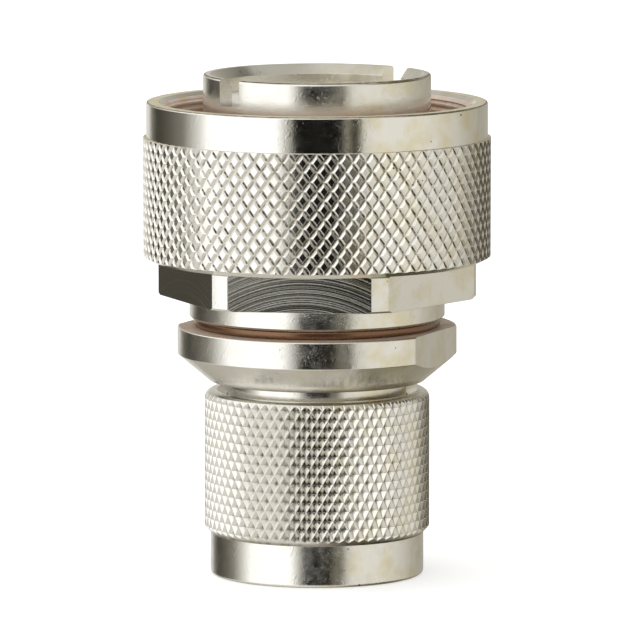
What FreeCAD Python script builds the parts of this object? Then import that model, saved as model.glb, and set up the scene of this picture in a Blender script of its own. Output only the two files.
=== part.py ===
import FreeCAD, Part
import Sketcher
import math
import os

# Coaxial adapter: an N plug below and a large threaded coaxial plug above.
# Millimetres, +Z up, the origin at the centre of the lower coupling nut's mouth, on which it stands.

doc = FreeCAD.newDocument("coaxial_adapter")

# Sizes that can be set by themselves
SIZES = {
    # fits
    "running_gap": 0.08,
    "seat_gap": 0.03,
    "ring_side_gap": 0.05,
    "ring_back_gap": 0.12,
    # lower coupling nut, outside
    "n_nut_height": 17.0,
    "n_nut_wall": 1.5,
    "n_band_height": 3.85,
    "n_mouth_round": 0.35,
    "n_knurl_rise": 0.54,
    "n_knurl_depth": 0.36,
    "n_knurl_bevel": 0.65,
    "n_top_round": 0.75,
    # lower coupling nut, inside
    "n_thread_bore": 7.43,
    "n_thread_relief": 1.0,
    "n_mouth_bevel": 0.85,
    # lower retaining ring and the nut's float along the axis
    "n_ring_low": 13.0,
    "n_ring_thickness": 0.8,
    "n_ring_depth": 0.45,
    "n_ring_reach": 0.55,
    "n_ring_split": 14.0,
    "n_nut_float": 0.8,
    # lower body, outside
    "neck_radius": 8.2,
    "neck_front": 10.0,
    "neck_front_bevel": 0.3,
    "neck_shown": 0.95,
    "cone_low_radius": 9.9,
    "cone_height": 2.45,
    "band_radius": 12.8,
    "band_height": 2.5,
    "band_bevel": 0.15,
    "band_flat_depth": 0.9,
    "band_flat_turn": 24.0,
    "spigot_wall": 2.3,
    "spigot_length": 5.3,
    # seal in the gap between the two bodies
    "seal_thickness": 0.8,
    "seal_width": 0.75,
    # outer contact of the N plug
    "n_contact_bore": 3.5,
    "n_finger_wall": 0.5,
    "n_contact_tip": 2.2,
    "n_tip_bevel": 0.2,
    "n_finger_slot": 0.3,
    "n_finger_turn": 7.5,
    "n_finger_length": 5.6,
    "n_stem_step": 0.4,
    "n_collar_step": 0.65,
    "n_collar_low": 12.5,
    "n_collar_height": 5.5,
    "n_clamp_height": 1.8,
    "n_clamp_slot_width": 0.9,
    "n_clamp_slot_depth": 0.6,
    # gasket of the N plug
    "n_gasket_thickness": 1.1,
    "n_gasket_gap": 0.28,
    # centre conductor of the N plug and its beads
    "n_pin_radius": 0.825,
    "n_pin_tip": 1.3,
    "n_pin_nose": 0.35,
    "n_pin_shoulder": 7.5,
    "n_rod_radius": 1.52,
    "n_rod_bevel": 0.3,
    "n_rod_top": 20.5,
    "n_stop_rise": 0.38,
    "n_stop_height": 0.6,
    "n_bead_low": 10.6,
    "n_bead_height": 3.0,
    "n_rear_bead_height": 2.3,
    "n_stud_radius": 1.1,
    "n_stud_length": 4.0,
    # upper body, outside
    "socket_wall": 1.17,
    "collar_neck_height": 1.9,
    "collar_neck_bevel": 0.2,
    "shoulder_width": 1.98,
    "hex_flat_depth": 1.53,
    "hex_height": 3.3,
    "hex_bevel": 0.18,
    "hex_turn": 23.0,
    "collar_wall": 2.65,
    "collar_height": 7.6,
    "collar_bevel": 0.2,
    # upper body, inside
    "bead_land": 1.13,
    "bead_height": 2.0,
    "lip_width": 0.84,
    "lip_height": 0.8,
    # upper retaining ring and the nut's float along the axis
    "large_ring_rise": 3.3,
    "large_ring_thickness": 1.0,
    "large_ring_depth": 0.65,
    "large_ring_reach": 0.55,
    "large_ring_split": 12.0,
    "large_nut_float": 0.8,
    # upper coupling nut
    "large_nut_seat_gap": 0.05,
    "large_nut_height": 14.55,
    "large_bevel_width": 0.51,
    "large_bevel_inset": 0.07,
    "large_bevel_height": 0.4,
    "large_knurl_rise": 0.28,
    "large_knurl_depth": 0.58,
    "large_rim_wall": 1.92,
    "large_rim_height": 3.25,
    "large_rim_round": 0.2,
    "large_rim_land": 0.92,
    "large_sink_depth": 0.3,
    "large_thread_bevel": 0.42,
    "large_thread_step": 1.1,
    "large_thread_relief": 1.32,
    # outer shell of the large plug
    "shell_bore": 9.04,
    "shell_wall": 1.38,
    "shell_rise": 9.55,
    "shell_round": 0.25,
    "shell_mouth_width": 0.75,
    "shell_mouth_depth": 0.85,
    "shell_slot_width": 2.7,
    "shell_slot_depth": 2.45,
    "shell_slot_turn": 50.1,
    "shell_flange_step": 0.53,
    "shell_flange_height": 1.5,
    "shell_spigot_wall": 0.88,
    # gasket, insulator and centre contact of the large plug
    "large_gasket_thickness": 1.4,
    "large_gasket_width": 1.87,
    "insulator_foot_height": 0.8,
    "insulator_recess": 2.2,
    "insulator_well_radius": 5.2,
    "insulator_well_depth": 6.85,
    "large_pin_radius": 2.7,
    "large_pin_nose": 0.5,
    "large_pin_recess": 1.15,
    "large_shank_radius": 2.3,
    "large_socket_radius": 1.5,
    "large_socket_depth": 3.9,
    # rod that joins the two centre conductors
    "rod_radius": 2.15,
    "rod_flange_radius": 3.6,
    "rod_stud_length": 3.6,
    "rod_socket_spare": 0.2,
}

# Diamonds round each knurl, half rows of diamonds up it, and slots between the spring fingers
N_KNURL_COUNT = 66
N_KNURL_ROW_COUNT = 14
LARGE_KNURL_COUNT = 78
LARGE_KNURL_ROW_COUNT = 13
FINGER_SLOT_COUNT = 6

# Radii and heights that follow from the sizes
PLACES = {
    # lower coupling nut
    "n_knurl_low": "=Sizes.n_band_height + Sizes.n_knurl_bevel",
    "n_knurl_top": "=Sizes.n_nut_height - Sizes.n_top_round",
    "n_mouth_radius": "=Sizes.n_thread_bore + Sizes.n_mouth_bevel",
    "n_rear_bore": "=Sizes.neck_radius + Sizes.running_gap",
    "n_band_radius": "=n_rear_bore + Sizes.n_nut_wall",
    "n_knurl_radius": "=n_band_radius + Sizes.n_knurl_rise",
    "n_knurl_root": "=n_knurl_radius - Sizes.n_knurl_depth",
    "n_shoulder_radius": "=n_knurl_radius - 0.1 * Sizes.n_knurl_depth",
    "n_core_radius": "=n_knurl_root - Sizes.n_knurl_depth",
    "n_top_radius": "=n_shoulder_radius - Sizes.n_top_round",
    "n_mouth_edge_radius": "=n_band_radius - Sizes.n_mouth_round",
    "n_thread_end": "=Sizes.neck_front - Sizes.n_thread_relief",
    "n_ring_top": "=Sizes.n_ring_low + Sizes.n_ring_thickness",
    "n_ring_inner": "=Sizes.neck_radius - Sizes.n_ring_depth",
    "n_ring_outer": "=Sizes.neck_radius + Sizes.n_ring_reach",
    "n_nut_groove_low": "=Sizes.n_ring_low - Sizes.ring_side_gap",
    "n_nut_groove_top": "=n_ring_top + Sizes.ring_side_gap",
    "n_nut_groove_radius": "=n_ring_outer + Sizes.ring_back_gap",
    # lower body
    "neck_groove_low": "=n_nut_groove_low - Sizes.n_nut_float",
    "neck_groove_top": "=n_nut_groove_top",
    "neck_groove_radius": "=n_ring_inner - Sizes.ring_back_gap",
    "neck_front_radius": "=Sizes.neck_radius - Sizes.neck_front_bevel",
    "neck_front_back": "=Sizes.neck_front + Sizes.neck_front_bevel",
    "cone_low": "=Sizes.n_nut_height + Sizes.neck_shown",
    "cone_top": "=cone_low + Sizes.cone_height",
    "band_top": "=cone_top + Sizes.band_height",
    "band_edge": "=band_top - Sizes.band_bevel",
    "band_top_radius": "=Sizes.band_radius - Sizes.band_bevel",
    "band_flat": "=Sizes.band_radius - Sizes.band_flat_depth",
    "cavity_radius": "=Sizes.shell_bore - Sizes.lip_width",
    "spigot_radius": "=cavity_radius + Sizes.spigot_wall",
    "spigot_top": "=band_top + Sizes.spigot_length",
    "stem_bore": "=n_stem_radius + Sizes.seat_gap",
    "collar_bore": "=n_collar_radius + Sizes.seat_gap",
    "collar_bore_top": "=n_clamp_top + Sizes.ring_side_gap",
    # outer contact of the N plug, its clamp ring and gasket
    "n_finger_radius": "=Sizes.n_contact_bore + Sizes.n_finger_wall",
    "n_stem_radius": "=n_finger_radius + Sizes.n_stem_step",
    "n_collar_radius": "=n_stem_radius + Sizes.n_collar_step",
    "n_tip_radius": "=n_finger_radius - Sizes.n_tip_bevel",
    "n_tip_edge": "=Sizes.n_contact_tip + Sizes.n_tip_bevel",
    "n_slot_end": "=Sizes.n_contact_tip + Sizes.n_finger_length",
    "n_half_slot": "=0.5 * Sizes.n_finger_slot",
    "n_half_clamp_slot": "=0.5 * Sizes.n_clamp_slot_width",
    "n_gasket_low": "=Sizes.neck_front - Sizes.n_gasket_thickness",
    "n_gasket_inner": "=n_stem_radius + Sizes.running_gap",
    "n_gasket_outer": "=Sizes.n_thread_bore - Sizes.n_gasket_gap",
    "n_stem_low": "=n_gasket_low - Sizes.n_tip_bevel",
    "n_collar_top": "=Sizes.n_collar_low + Sizes.n_collar_height",
    "n_clamp_top": "=n_collar_top + Sizes.n_clamp_height",
    "n_clamp_slot_low": "=n_clamp_top - Sizes.n_clamp_slot_depth",
    # centre conductor of the N plug and its beads
    "n_nose_radius": "=Sizes.n_pin_radius - Sizes.n_pin_nose",
    "n_nose_top": "=Sizes.n_pin_tip + Sizes.n_pin_nose",
    "n_rod_edge": "=Sizes.n_pin_shoulder + Sizes.n_rod_bevel",
    "n_rod_front": "=Sizes.n_rod_radius - Sizes.n_rod_bevel",
    "n_bead_radius": "=Sizes.n_contact_bore - Sizes.seat_gap",
    "n_bead_hole": "=Sizes.n_rod_radius + Sizes.seat_gap",
    "n_bead_top": "=Sizes.n_bead_low + Sizes.n_bead_height",
    "n_stop_top": "=n_bead_top + Sizes.n_stop_height",
    "n_stop_radius": "=Sizes.n_rod_radius + Sizes.n_stop_rise",
    "n_rear_bead_low": "=n_collar_top - Sizes.n_rear_bead_height",
    "n_stud_top": "=Sizes.n_rod_top + Sizes.n_stud_length",
    # upper body
    "neck_low": "=band_top + Sizes.seal_thickness",
    "socket_radius": "=spigot_radius + Sizes.seat_gap",
    "seal_outer": "=socket_radius + Sizes.seal_width",
    "collar_neck_radius": "=socket_radius + Sizes.socket_wall",
    "neck_low_radius": "=collar_neck_radius - Sizes.collar_neck_bevel",
    "neck_edge": "=neck_low + Sizes.collar_neck_bevel",
    "hex_low": "=neck_low + Sizes.collar_neck_height",
    "hex_edge": "=hex_low + Sizes.hex_bevel",
    "shell_spigot_radius": "=Sizes.shell_bore + Sizes.shell_spigot_wall",
    "shell_thread_radius": "=shell_spigot_radius + Sizes.seat_gap",
    "collar_radius": "=shell_thread_radius + Sizes.collar_wall",
    "hex_corner_radius": "=collar_radius + Sizes.shoulder_width",
    "hex_flat": "=hex_corner_radius - Sizes.hex_flat_depth",
    "hex_edge_radius": "=hex_corner_radius - Sizes.hex_bevel",
    "hex_top": "=hex_low + Sizes.hex_height",
    "hex_top_edge": "=hex_top - Sizes.hex_bevel",
    "collar_top": "=hex_top + Sizes.collar_height",
    "collar_edge": "=collar_top - Sizes.collar_bevel",
    "collar_top_radius": "=collar_radius - Sizes.collar_bevel",
    "bead_top": "=spigot_top + Sizes.bead_height",
    "bead_seat_radius": "=cavity_radius + Sizes.bead_land",
    "bead_radius": "=bead_seat_radius - Sizes.seat_gap",
    "bead_hole": "=Sizes.rod_radius + Sizes.seat_gap",
    "lip_top": "=bead_top + Sizes.lip_height",
    # upper retaining ring
    "large_ring_low": "=hex_top + Sizes.large_ring_rise",
    "large_ring_top": "=large_ring_low + Sizes.large_ring_thickness",
    "large_ring_inner": "=collar_radius - Sizes.large_ring_depth",
    "large_ring_outer": "=collar_radius + Sizes.large_ring_reach",
    "large_nut_groove_low": "=large_ring_low - Sizes.ring_side_gap",
    "large_nut_groove_top": "=large_ring_top + Sizes.ring_side_gap",
    "large_nut_groove_radius": "=large_ring_outer + Sizes.ring_back_gap",
    "collar_groove_low": "=large_nut_groove_low",
    "collar_groove_top": "=large_nut_groove_top + Sizes.large_nut_float",
    "collar_groove_radius": "=large_ring_inner - Sizes.ring_back_gap",
    # upper coupling nut
    "large_nut_low": "=hex_top + Sizes.large_nut_seat_gap",
    "large_nut_top": "=large_nut_low + Sizes.large_nut_height",
    "large_rear_bore": "=collar_radius + Sizes.running_gap",
    "large_knurl_low": "=large_nut_low + Sizes.large_bevel_height",
    "large_knurl_top": "=large_nut_top - Sizes.large_rim_height",
    "large_thread_bore": "=collar_radius + Sizes.large_thread_step",
    "large_rim_radius": "=large_thread_bore + Sizes.large_rim_wall",
    "large_knurl_radius": "=large_rim_radius + Sizes.large_knurl_rise",
    "large_knurl_root": "=large_knurl_radius - Sizes.large_knurl_depth",
    "large_core_radius": "=large_knurl_root - 0.5 * Sizes.large_knurl_depth",
    "large_bevel_radius": "=large_knurl_root - Sizes.large_bevel_inset",
    "large_foot_radius": "=large_bevel_radius - Sizes.large_bevel_width",
    "large_rim_edge": "=large_nut_top - Sizes.large_rim_round",
    "large_rim_top_radius": "=large_rim_radius - Sizes.large_rim_round",
    "large_sink_radius": "=large_rim_top_radius - Sizes.large_rim_land",
    "large_thread_top": "=large_thread_bore + Sizes.large_thread_bevel",
    "large_sink_low": "=large_nut_top - Sizes.large_sink_depth",
    "large_thread_start": "=large_sink_low - Sizes.large_thread_bevel",
    "large_thread_low": "=collar_top - Sizes.large_thread_relief",
    # outer shell
    "shell_top": "=collar_top + Sizes.shell_rise",
    "shell_edge": "=shell_top - Sizes.shell_round",
    "shell_radius": "=Sizes.shell_bore + Sizes.shell_wall",
    "shell_top_radius": "=shell_radius - Sizes.shell_round",
    "shell_mouth_radius": "=Sizes.shell_bore + Sizes.shell_mouth_width",
    "shell_mouth_low": "=shell_top - Sizes.shell_mouth_depth",
    "shell_slot_low": "=shell_top - Sizes.shell_slot_depth",
    "shell_half_slot": "=0.5 * Sizes.shell_slot_width",
    "above_shell": "=shell_top + Sizes.shell_slot_depth",
    "flat_reach": "=1.5 * hex_corner_radius",
    "shell_flange_top": "=collar_top + Sizes.shell_flange_height",
    "shell_flange_radius": "=shell_radius + Sizes.shell_flange_step",
    "insulator_foot_top": "=lip_top + Sizes.insulator_foot_height",
    "shell_low": "=insulator_foot_top + Sizes.seat_gap",
    # gasket, insulator and centre contact of the large plug
    "large_gasket_top": "=collar_top + Sizes.large_gasket_thickness",
    "large_gasket_inner": "=shell_flange_radius + Sizes.running_gap",
    "large_gasket_outer": "=large_gasket_inner + Sizes.large_gasket_width",
    "insulator_radius": "=Sizes.shell_bore - Sizes.seat_gap",
    "insulator_top": "=shell_top - Sizes.insulator_recess",
    "insulator_floor": "=insulator_top - Sizes.insulator_well_depth",
    "insulator_hole": "=Sizes.large_shank_radius + Sizes.seat_gap",
    "large_pin_top": "=shell_top - Sizes.large_pin_recess",
    "large_pin_edge": "=large_pin_top - Sizes.large_pin_nose",
    "large_nose_radius": "=Sizes.large_pin_radius - Sizes.large_pin_nose",
    "large_socket_top": "=lip_top + Sizes.large_socket_depth",
    # rod
    "rod_stud_radius": "=Sizes.large_socket_radius - Sizes.seat_gap",
    "rod_stud_top": "=lip_top + Sizes.rod_stud_length",
    "rod_socket_radius": "=Sizes.n_stud_radius + Sizes.seat_gap",
    "rod_socket_top": "=n_stud_top + Sizes.rod_socket_spare",
}


def filled_sheet(name, cells):
    """A spreadsheet with one named cell to a row."""
    sheet = doc.addObject("Spreadsheet::Sheet", name)
    for row, (alias, content) in enumerate(cells.items(), start=1):
        sheet.set(f"A{row}", alias)
        sheet.set(f"B{row}", str(content))
        sheet.setAlias(f"B{row}", alias)
    return sheet


sizes = filled_sheet("Sizes", SIZES)
doc.recompute()
places = filled_sheet("Places", PLACES)
doc.recompute()


def value(name):
    """The number that a named cell holds."""
    return float(sizes.get(name) if name in SIZES else places.get(name))


def cell(name):
    """The expression that refers to a named cell."""
    return f"Sizes.{name}" if name in SIZES else f"Places.{name}"


# Sketches

AXIS = "axis"
FLOOR = "floor"


def origin_plane(body, role):
    return next(o for o in body.Origin.OriginFeatures if o.Role == role)


def new_sketch(body, name, role):
    sketch = body.newObject("Sketcher::SketchObject", name)
    sketch.AttachmentSupport = [(origin_plane(body, role), "")]
    sketch.MapMode = "FlatFace"
    return sketch


def hold(sketch, kind, geometry, point, name, sign=1):
    """Binds a point's distance from the sketch's origin to a named cell."""
    at = sketch.addConstraint(
        Sketcher.Constraint(kind, -1, 1, geometry, point, sign * value(name))
    )
    sketch.setExpression(f"Constraints[{at}]", cell(name) if sign > 0 else f"-{cell(name)}")


def hold_corner(sketch, geometry, point, radius, height):
    if radius == AXIS:
        sketch.addConstraint(Sketcher.Constraint("PointOnObject", geometry, point, -2))
    else:
        hold(sketch, "DistanceX", geometry, point, radius)
    if height == FLOOR:
        sketch.addConstraint(Sketcher.Constraint("PointOnObject", geometry, point, -1))
    else:
        hold(sketch, "DistanceY", geometry, point, height)


def rounded_edge(start, end, radius):
    """An arc that bulges to the right of the way from start to end."""
    chord = end - start
    inward = FreeCAD.Vector(-chord.y, chord.x, 0).normalize()
    centre = (start + end) / 2 + inward * math.sqrt(radius**2 - chord.Length**2 / 4)
    angles = [math.atan2(point.y - centre.y, point.x - centre.x) for point in (start, end)]
    return Part.ArcOfCircle(Part.Circle(centre, FreeCAD.Vector(0, 0, 1), radius), *angles)


def closed_outline(sketch, corners):
    """An outline, counter-clockwise, through corners given as (radius cell, height cell).

    A third cell in a corner makes the edge that leaves it an arc of that radius.
    """
    points = [
        FreeCAD.Vector(
            0 if radius == AXIS else value(radius), 0 if height == FLOOR else value(height), 0
        )
        for radius, height, *_ in corners
    ]
    count = len(corners)
    for i, (_, _, *arc) in enumerate(corners):
        start, end = points[i], points[(i + 1) % count]
        edge = rounded_edge(start, end, value(arc[0])) if arc else Part.LineSegment(start, end)
        sketch.addGeometry(edge, False)
    for i in range(count):
        sketch.addConstraint(Sketcher.Constraint("Coincident", i, 2, (i + 1) % count, 1))
    for i, (radius, height, *arc) in enumerate(corners):
        hold_corner(sketch, i, 1, radius, height)
        if arc:
            at = sketch.addConstraint(Sketcher.Constraint("Radius", i, value(arc[0])))
            sketch.setExpression(f"Constraints[{at}]", cell(arc[0]))


def new_body(name):
    body = doc.addObject("PartDesign::Body", name)
    body.Label = name
    return body


def turned(name, corners, split=None):
    """A body turned about Z from its half section, or a split ring if the gap's angle is given."""
    body = new_body(name)
    section = new_sketch(body, f"{name}_section", "XZ_Plane")
    closed_outline(section, corners)
    doc.recompute()
    turn = body.newObject("PartDesign::Revolution", f"{name}_turn")
    turn.Profile = section
    turn.ReferenceAxis = (section, ["V_Axis"])
    turn.Angle = 360.0
    if split:
        turn.setExpression("Angle", f"360 - {cell(split)}")
    body.Tip = turn
    doc.recompute()
    return body


def rectangle(sketch, left, right, low, high):
    """A rectangle from four (cell, sign) pairs, as distances from the sketch's origin."""
    x0, x1, y0, y1 = (sign * value(name) for name, sign in (left, right, low, high))
    corners = [(x0, y0), (x1, y0), (x1, y1), (x0, y1)]
    points = [FreeCAD.Vector(x, y, 0) for x, y in corners]
    first = sketch.GeometryCount
    for i in range(4):
        sketch.addGeometry(Part.LineSegment(points[i], points[(i + 1) % 4]), False)
    for i in range(4):
        sketch.addConstraint(
            Sketcher.Constraint("Coincident", first + i, 2, first + (i + 1) % 4, 1)
        )
    for i in (0, 2):
        sketch.addConstraint(Sketcher.Constraint("Horizontal", first + i))
    for i in (1, 3):
        sketch.addConstraint(Sketcher.Constraint("Vertical", first + i))
    hold(sketch, "DistanceX", first, 1, left[0], left[1])
    hold(sketch, "DistanceY", first, 1, low[0], low[1])
    hold(sketch, "DistanceX", first + 2, 1, right[0], right[1])
    hold(sketch, "DistanceY", first + 2, 1, high[0], high[1])


def must_cut(body, feature, before):
    """Makes a feature the body's last one, and stops if it took nothing off the volume before."""
    body.Tip = feature
    doc.recompute()
    if body.Shape.Volume > before - 1e-6:
        raise RuntimeError(f"{feature.Name} cuts nothing")


def pocketed(body, sketch, name, up_to=None):
    """Cuts the sketch through the body both ways, or from the sketch's plane up to a named height."""
    before = body.Shape.Volume
    cut = body.newObject("PartDesign::Pocket", name)
    cut.Profile = sketch
    if up_to:
        cut.Type = "Length"
        cut.Reversed = True
        cut.setExpression("Length", cell(up_to))
    else:
        cut.Type = "ThroughAll"
        cut.Midplane = True
    must_cut(body, cut, before)
    return cut


def repeated(body, sketch, cut, name, count):
    """The same cut at even angles round the axis."""
    before = body.Shape.Volume
    pattern = body.newObject("PartDesign::PolarPattern", name)
    pattern.Originals = [cut]
    pattern.Axis = (sketch, ["N_Axis"])
    pattern.Angle = 360.0
    pattern.Occurrences = count
    must_cut(body, pattern, before)


def turn_about_axis(body, name, sign=1):
    """Turns a finished body about Z by a named angle."""
    body.Placement.Rotation = FreeCAD.Rotation(FreeCAD.Vector(0, 0, 1), sign * value(name))
    body.setExpression(
        "Placement.Rotation.Angle", cell(name) if sign > 0 else f"-{cell(name)}"
    )


# Knurls


def knurl_ring(name, node, apex, core, low, high, diamonds, half_rows):
    """A ring whose outside is a lattice of diamonds, four facets to each.

    The diamonds' corners lie at the node radius, their middles at the apex radius. A larger apex
    radius gives raised points, a smaller one gives pits between raised lines.
    """
    columns = 2 * diamonds
    bottom, top = value(low), value(high)
    grid = []
    for row in range(half_rows + 1):
        height = bottom + (top - bottom) * row / half_rows
        inner_row = 0 < row < half_rows
        points = []
        for column in range(columns):
            angle = 2 * math.pi * column / columns
            radius = value(apex if inner_row and (row + column) % 2 else node)
            points.append(
                FreeCAD.Vector(radius * math.cos(angle), radius * math.sin(angle), height)
            )
        grid.append(points)
    faces = []
    for row in range(half_rows + 1):
        for column in range(1 - row % 2, columns, 2):
            middle = grid[row][column]
            left = grid[row][column - 1]
            right = grid[row][(column + 1) % columns]
            for other in (row - 1, row + 1):
                if 0 <= other <= half_rows:
                    tip = grid[other][column]
                    for side in (left, right):
                        faces.append(Part.Face(Part.makePolygon([middle, side, tip, middle])))
    for points in (grid[0], grid[-1]):
        faces.append(Part.Face(Part.makePolygon(points + [points[0]])))
    drum = Part.Compound(faces)
    drum.sewShape()
    drum = Part.Solid(drum.Shells[0])
    if drum.Volume < 0:
        drum.reverse()
    bore = Part.makeCylinder(
        value(core), top - bottom + 2, FreeCAD.Vector(0, 0, bottom - 1)
    )
    ring = doc.addObject("Part::Feature", name)
    ring.Shape = drum.cut(bore).Solids[0]
    return ring


def knurled(name, blank, ring):
    """The nut: its turned blank with the knurl round it."""
    nut = doc.addObject("Part::Fuse", name)
    nut.Base = blank
    nut.Tool = ring
    nut.Refine = False
    nut.Label = name
    doc.recompute()
    return nut


# Lower coupling nut


def n_coupling_nut():
    blank = turned(
        "n_nut_blank",
        [
            ("n_mouth_radius", FLOOR),
            ("n_mouth_edge_radius", FLOOR, "n_mouth_round"),
            ("n_band_radius", "n_mouth_round"),
            ("n_band_radius", "n_band_height"),
            ("n_shoulder_radius", "n_knurl_low"),
            ("n_core_radius", "n_knurl_low"),
            ("n_core_radius", "n_knurl_top"),
            ("n_shoulder_radius", "n_knurl_top", "n_top_round"),
            ("n_top_radius", "n_nut_height"),
            ("n_rear_bore", "n_nut_height"),
            ("n_rear_bore", "n_nut_groove_top"),
            ("n_nut_groove_radius", "n_nut_groove_top"),
            ("n_nut_groove_radius", "n_nut_groove_low"),
            ("n_rear_bore", "n_nut_groove_low"),
            ("n_rear_bore", "n_thread_end"),
            ("n_thread_bore", "n_thread_end"),
            ("n_thread_bore", "n_mouth_bevel"),
        ],
    )
    ring = knurl_ring(
        "n_knurl",
        "n_knurl_radius",
        "n_knurl_root",
        "n_core_radius",
        "n_knurl_low",
        "n_knurl_top",
        N_KNURL_COUNT,
        N_KNURL_ROW_COUNT,
    )
    return knurled("n_coupling_nut", blank, ring)


# Upper coupling nut


def large_coupling_nut():
    blank = turned(
        "large_nut_blank",
        [
            ("large_rear_bore", "large_nut_low"),
            ("large_foot_radius", "large_nut_low"),
            ("large_bevel_radius", "large_knurl_low"),
            ("large_core_radius", "large_knurl_low"),
            ("large_core_radius", "large_knurl_top"),
            ("large_rim_radius", "large_knurl_top"),
            ("large_rim_radius", "large_rim_edge", "large_rim_round"),
            ("large_rim_top_radius", "large_nut_top"),
            ("large_sink_radius", "large_nut_top"),
            ("large_thread_top", "large_sink_low"),
            ("large_thread_bore", "large_thread_start"),
            ("large_thread_bore", "large_thread_low"),
            ("large_rear_bore", "large_thread_low"),
            ("large_rear_bore", "large_nut_groove_top"),
            ("large_nut_groove_radius", "large_nut_groove_top"),
            ("large_nut_groove_radius", "large_nut_groove_low"),
            ("large_rear_bore", "large_nut_groove_low"),
        ],
    )
    ring = knurl_ring(
        "large_knurl",
        "large_knurl_root",
        "large_knurl_radius",
        "large_core_radius",
        "large_knurl_low",
        "large_knurl_top",
        LARGE_KNURL_COUNT,
        LARGE_KNURL_ROW_COUNT,
    )
    return knurled("large_coupling_nut", blank, ring)


# Retaining rings, split so that they spring into their grooves


def snap_rings():
    lower = turned(
        "n_snap_ring",
        [
            ("n_ring_inner", "n_ring_low"),
            ("n_ring_outer", "n_ring_low"),
            ("n_ring_outer", "n_ring_top"),
            ("n_ring_inner", "n_ring_top"),
        ],
        split="n_ring_split",
    )
    upper = turned(
        "large_snap_ring",
        [
            ("large_ring_inner", "large_ring_low"),
            ("large_ring_outer", "large_ring_low"),
            ("large_ring_outer", "large_ring_top"),
            ("large_ring_inner", "large_ring_top"),
        ],
        split="large_ring_split",
    )
    return [lower, upper]


# Lower body: neck, cone, band with two wrench flats, and the spigot that screws into the upper body


def side_flats(body, name, apothem, count):
    """Mills flats round a body, each at the apothem from the axis, spaced evenly."""
    outline = new_sketch(body, f"{name}_outline", "XY_Plane")
    rectangle(outline, (apothem, 1), ("flat_reach", 1), ("flat_reach", -1), ("flat_reach", 1))
    doc.recompute()
    cut = pocketed(body, outline, name)
    repeated(body, outline, cut, f"{name}_round", count)


def lower_body():
    body = turned(
        "lower_body",
        [
            ("stem_bore", "neck_front"),
            ("neck_front_radius", "neck_front"),
            ("neck_radius", "neck_front_back"),
            ("neck_radius", "neck_groove_low"),
            ("neck_groove_radius", "neck_groove_low"),
            ("neck_groove_radius", "neck_groove_top"),
            ("neck_radius", "neck_groove_top"),
            ("neck_radius", "cone_low"),
            ("cone_low_radius", "cone_low"),
            ("band_radius", "cone_top"),
            ("band_radius", "band_edge"),
            ("band_top_radius", "band_top"),
            ("spigot_radius", "band_top"),
            ("spigot_radius", "spigot_top"),
            ("cavity_radius", "spigot_top"),
            ("cavity_radius", "collar_bore_top"),
            ("collar_bore", "collar_bore_top"),
            ("collar_bore", "n_collar_low"),
            ("stem_bore", "n_collar_low"),
        ],
    )
    side_flats(body, "wrench_flats", "band_flat", 2)
    turn_about_axis(body, "band_flat_turn", -1)
    return body


# Upper body: neck, six wrench flats, and the collar on which the large nut turns


def upper_body():
    body = turned(
        "upper_body",
        [
            ("socket_radius", "neck_low"),
            ("neck_low_radius", "neck_low"),
            ("collar_neck_radius", "neck_edge"),
            ("collar_neck_radius", "hex_low"),
            ("hex_edge_radius", "hex_low"),
            ("hex_corner_radius", "hex_edge"),
            ("hex_corner_radius", "hex_top_edge"),
            ("hex_edge_radius", "hex_top"),
            ("collar_radius", "hex_top"),
            ("collar_radius", "collar_groove_low"),
            ("collar_groove_radius", "collar_groove_low"),
            ("collar_groove_radius", "collar_groove_top"),
            ("collar_radius", "collar_groove_top"),
            ("collar_radius", "collar_edge"),
            ("collar_top_radius", "collar_top"),
            ("shell_thread_radius", "collar_top"),
            ("shell_thread_radius", "lip_top"),
            ("cavity_radius", "lip_top"),
            ("cavity_radius", "bead_top"),
            ("bead_seat_radius", "bead_top"),
            ("bead_seat_radius", "spigot_top"),
            ("socket_radius", "spigot_top"),
        ],
    )
    side_flats(body, "hex_flats", "hex_flat", 6)
    turn_about_axis(body, "hex_turn")
    return body


# N plug: outer contact with spring fingers, its clamp ring, gasket, pin and beads


def n_outer_contact():
    body = turned(
        "n_outer_contact",
        [
            ("n_contact_bore", "n_contact_tip"),
            ("n_tip_radius", "n_contact_tip"),
            ("n_finger_radius", "n_tip_edge"),
            ("n_finger_radius", "n_stem_low"),
            ("n_stem_radius", "n_stem_low"),
            ("n_stem_radius", "n_collar_low"),
            ("n_collar_radius", "n_collar_low"),
            ("n_collar_radius", "n_collar_top"),
            ("n_contact_bore", "n_collar_top"),
        ],
    )
    slot = new_sketch(body, "finger_slot_outline", "XY_Plane")
    half = "n_half_slot"
    rectangle(slot, (half, -1), (half, 1), ("n_rod_radius", 1), ("n_stem_radius", 1))
    slot.AttachmentOffset = FreeCAD.Placement(
        FreeCAD.Vector(0, 0, 0), FreeCAD.Rotation(FreeCAD.Vector(0, 0, 1), value("n_finger_turn"))
    )
    slot.setExpression("AttachmentOffset.Rotation.Angle", cell("n_finger_turn"))
    doc.recompute()
    cut = pocketed(body, slot, "finger_slot", up_to="n_slot_end")
    repeated(body, slot, cut, "finger_slots", FINGER_SLOT_COUNT)
    return body


def n_clamp_ring():
    body = turned(
        "n_clamp_ring",
        [
            ("n_contact_bore", "n_collar_top"),
            ("n_collar_radius", "n_collar_top"),
            ("n_collar_radius", "n_clamp_top"),
            ("n_contact_bore", "n_clamp_top"),
        ],
    )
    slot = new_sketch(body, "clamp_slot_outline", "XZ_Plane")
    rectangle(
        slot,
        ("n_half_clamp_slot", -1),
        ("n_half_clamp_slot", 1),
        ("n_clamp_slot_low", 1),
        ("collar_bore_top", 1),
    )
    doc.recompute()
    pocketed(body, slot, "clamp_slot")
    return body


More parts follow.
